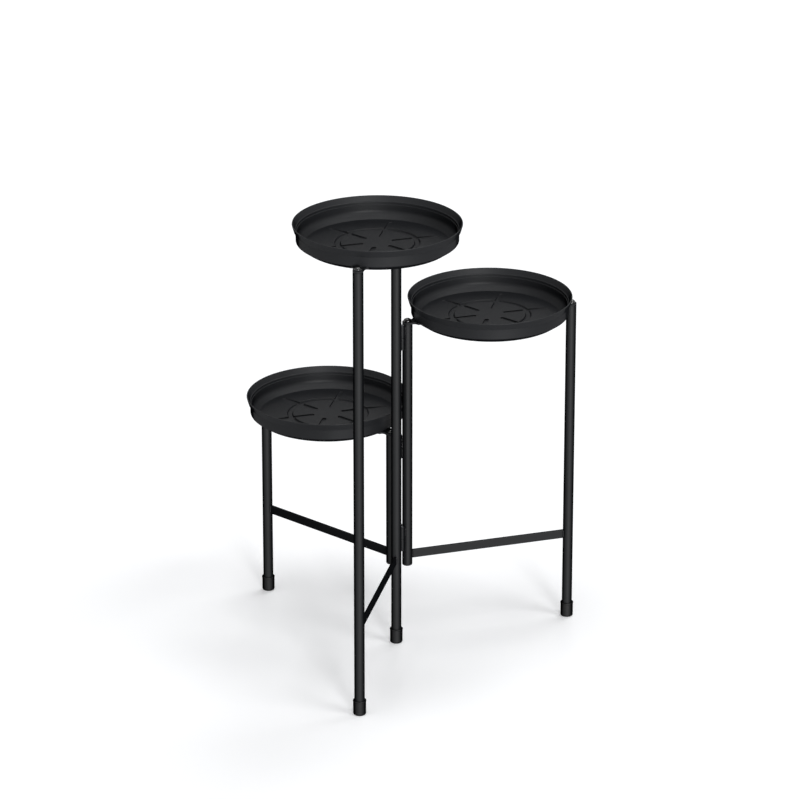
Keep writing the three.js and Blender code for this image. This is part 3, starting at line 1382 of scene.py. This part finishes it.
@dataclass
class KnuckleHinges:
    """The lower and the upper pinned hinge between one frame and the next.

    A saddle is the short block between a barrel and the tube that it is welded to.
    """

    plan: FramePlan
    parent: FramePlan
    barrel_radius: float = 4.5
    bore_radius: float = 2.8
    reach: float = 12.8
    tube_radius: float = 8.0
    saddle_width: float = 6.8
    setback: float = 1.5
    saddle_root: float = 0.6
    saddle_overlap: float = 0.8
    saddle_edge: float = 0.5
    bead_inset: float = 0.5
    bead_lift: float = 0.2
    pin_radius: float = 2.5
    head_radius: float = 3.9
    head_height: float = 1.45
    rivet_radius: float = 3.4
    rivet_height: float = 1.25
    edge: float = 0.4
    sides: int = 48
    pin_sides: int = 40
    overshoot: float = 2.0

    def knuckle(self, length: float) -> bpy.types.Object:
        """Shapes one knuckle from Z = 0 up, with its saddle towards +X.

        Args:
            length: Length of the barrel.

        Returns:
            The welded and bored knuckle.
        """
        section = rounded(
            [
                (self.bore_radius, length / 2, 0),
                (self.bore_radius, 0, self.edge),
                (self.barrel_radius, 0, self.edge),
                (self.barrel_radius, length, self.edge),
                (self.bore_radius, length, self.edge),
                (self.bore_radius, length / 2, 0),
            ],
            chord_turn=30,
        )
        piece = turned("knuckle", section, self.sides)
        half = self.saddle_width / 2
        gap = self.reach - self.tube_radius
        root, end = self.bore_radius + self.saddle_root, gap + self.saddle_overlap
        outline = [(root, -half), (end, -half), (end, half), (root, half)]
        saddle = plate("saddle", outline, self.setback, length - self.setback)
        soften(saddle, self.saddle_edge)
        combine(piece, saddle, Operation.ADD)
        tube_work = TubeWork(self.plan)
        for side in (-1, 1):
            bead = tube_work.bead(length - 2 * self.setback)
            across = side * (half + self.bead_lift)
            place = Vector((gap + self.bead_inset, across, self.setback)) * MM
            combine(piece, placed(bead, place), Operation.ADD)
        low, high = -self.overshoot, length + self.overshoot
        section = [(0, low), (self.tube_radius, low), (self.tube_radius, high), (0, high)]
        seat = turned("seat", section, tube_work.sides)
        placed(seat, Vector((self.reach, 0, 0)) * MM)
        combine(piece, seat, Operation.CUT)
        shade(piece)
        return piece

    def pin(self, low: float, high: float) -> bpy.types.Object:
        """Turns a headed pin, riveted over at its lower end.

        Args:
            low: Height of the rivet's underside.
            high: Height of the top of the head.

        Returns:
            The pin on the Z axis.
        """
        rivet = low + self.rivet_height
        head = high - self.head_height
        section = rounded(
            [
                (0, low, 0),
                (self.rivet_radius, low, 0.6),
                (self.rivet_radius, rivet, 0.2),
                (self.pin_radius, rivet, 0),
                (self.pin_radius, head, 0),
                (self.head_radius, head, 0.2),
                (self.head_radius, high, 0.9),
                (0, high, 0),
            ]
        )
        piece = turned("pin", section, self.pin_sides)
        shade(piece)
        return piece

    def build(self) -> None:
        """Builds both hinges, each with two knuckles and a pin."""
        for level in Level:
            pin_node = f"{self.plan.name}_{level.value}_hinge_pin"
            axis = axis_of(pin_node)
            low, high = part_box(pin_node)
            pin = self.pin(low.z / MM, high.z / MM)
            pin.name = f"{self.plan.name}_{level.value}_pivot_pin"
            hand_over(placed(pin, axis), pin_node, BLACKENED_STEEL)
            for kind, post in (("fixed", self.parent), ("swinging", self.plan)):
                node = f"{self.plan.name}_{level.value}_{kind}_knuckle"
                low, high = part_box(node)
                piece = self.knuckle((high.z - low.z) / MM)
                piece.name = f"{self.plan.name}_{level.value}_{kind}_barrel"
                towards = post.hub_end - axis
                heading = math.atan2(towards.y, towards.x)
                placed(piece, Vector((axis.x, axis.y, low.z)), heading)
                hand_over(piece, node, SATIN_POWDER_COAT)


# ------------------------------------------------------------------ studio


@dataclass
class Studio:
    """Pale floor, soft lamps and the camera, set round the photograph's viewpoint.

    Attributes:
        camera_place: Where the camera stands.
        camera_aim: Direction that it looks in.
        camera_side: Degrees that it stands to the right of the stand's front.
        lens: Its focal length.
        sensor: Width of its sensor.
        nearest: Nearest thing that it sees.
        farthest: Farthest thing that it sees.
        ambient: Strength of the surround where it only lights.
        lamp_distance: How far off the lamps hang, which changes nothing in their light.
        floor_size: Side of the floor.
        floor_gap: Gap between the floor and the feet.
    """

    camera_place: tuple[float, float, float] = (1302.5, -6111.6, 2879.0)
    camera_aim: tuple[float, float, float] = (-0.192995, 0.909689, -0.367722)
    camera_side: float = 11.978
    lens: float = 196.767
    sensor: float = 36.0
    nearest: float = 50.0
    farthest: float = 200_000.0
    ambient: float = 0.06
    lamp_distance: float = 3000.0
    floor_size: float = 80_000.0
    floor_gap: float = 0.1

    def camera(self) -> None:
        """Places the camera that sees the stand as the photograph does."""
        data = bpy.data.cameras.new("camera")
        data.lens = self.lens
        data.sensor_width = self.sensor
        data.clip_start = self.nearest * MM
        data.clip_end = self.farthest * MM
        camera = bpy.data.objects.new("camera", data)
        camera.location = Vector(self.camera_place) * MM
        camera.rotation_euler = Vector(self.camera_aim).to_track_quat("-Z", "Y").to_euler()
        bpy.context.scene.collection.objects.link(camera)
        bpy.context.scene.camera = camera

    def towards(self, right: float, height: float) -> Vector:
        """Direction of a lamp seen from the stand.

        Args:
            right: Degrees to the right of the camera.
            height: Degrees above the floor.

        Returns:
            The unit vector from the stand to the lamp.
        """
        turn = math.radians(self.camera_side + right)
        rise = math.radians(height)
        level = math.cos(rise)
        return Vector((math.sin(turn) * level, -math.cos(turn) * level, math.sin(rise)))

    def sun(self, name: str, right: float, height: float, strength: float, spread: float) -> None:
        """Adds a distant soft lamp.

        Args:
            name: Name of the lamp.
            right: Degrees to the right of the camera.
            height: Degrees above the floor.
            strength: Irradiance in watts per square metre.
            spread: Angular size in degrees.
        """
        data = bpy.data.lights.new(name, "SUN")
        data.energy = strength
        data.angle = math.radians(spread)
        lamp = bpy.data.objects.new(name, data)
        direction = self.towards(right, height)
        lamp.rotation_euler = direction.to_track_quat("Z", "Y").to_euler()
        lamp.location = direction * (self.lamp_distance * MM)
        bpy.context.scene.collection.objects.link(lamp)

    def world(self) -> None:
        """Gives an even white surround, full white where it is seen or reflected."""
        world = bpy.data.worlds.new("studio")
        world.use_nodes = True
        world.node_tree.nodes.clear()
        bpy.context.scene.world = world
        seen = seen_directly(world, add_node(world, "ShaderNodeLightPath").outputs)
        strength = add_node(
            world,
            "ShaderNodeMapRange",
            {"Value": seen, "To Min": self.ambient, "To Max": 1.0},
        )
        surround = add_node(
            world,
            "ShaderNodeBackground",
            {"Color": linear("#ffffff"), "Strength": strength.outputs["Result"]},
        )
        add_node(world, "ShaderNodeOutputWorld", {"Surface": surround.outputs[0]})

    def floor(self) -> None:
        """Lays the pale floor just under the feet."""
        bpy.ops.object.select_all(action="DESELECT")
        size = self.floor_size * MM
        bpy.ops.mesh.primitive_plane_add(size=size, location=(0, 0, -self.floor_gap * MM))
        floor = bpy.context.object
        floor.name = "studio_floor"
        floor.data.materials.append(StudioFloor().material())

    def build(self) -> None:
        """Builds the floor, the lamps, the surround and the camera."""
        bpy.context.scene.view_settings.view_transform = "Standard"
        self.camera()
        self.world()
        self.floor()
        self.sun("key", right=16, height=8, strength=3.0, spread=14)
        self.sun("overhead", right=-35, height=80, strength=1.0, spread=30)
        self.sun("top right", right=60, height=55, strength=0.7, spread=20)
        self.sun("back right", right=140, height=62, strength=0.8, spread=26)
        self.sun("back", right=175, height=35, strength=0.35, spread=16)


def main() -> None:
    """Builds the stand and the studio."""
    Studio().build()
    for plan in FRAMES:
        TubeWork(plan).build()
        EndCaps(plan).build()
    tier = SaucerTier(TALL)
    shell, screw = tier.shell(), tier.screw()
    for plan in FRAMES:
        SaucerTier(plan).build(shell, screw)
    bpy.data.objects.remove(shell)
    bpy.data.objects.remove(screw)
    KnuckleHinges(MIDDLE, TALL).build()
    KnuckleHinges(LOW, MIDDLE).build()


if __name__ == "__main__":
    main()
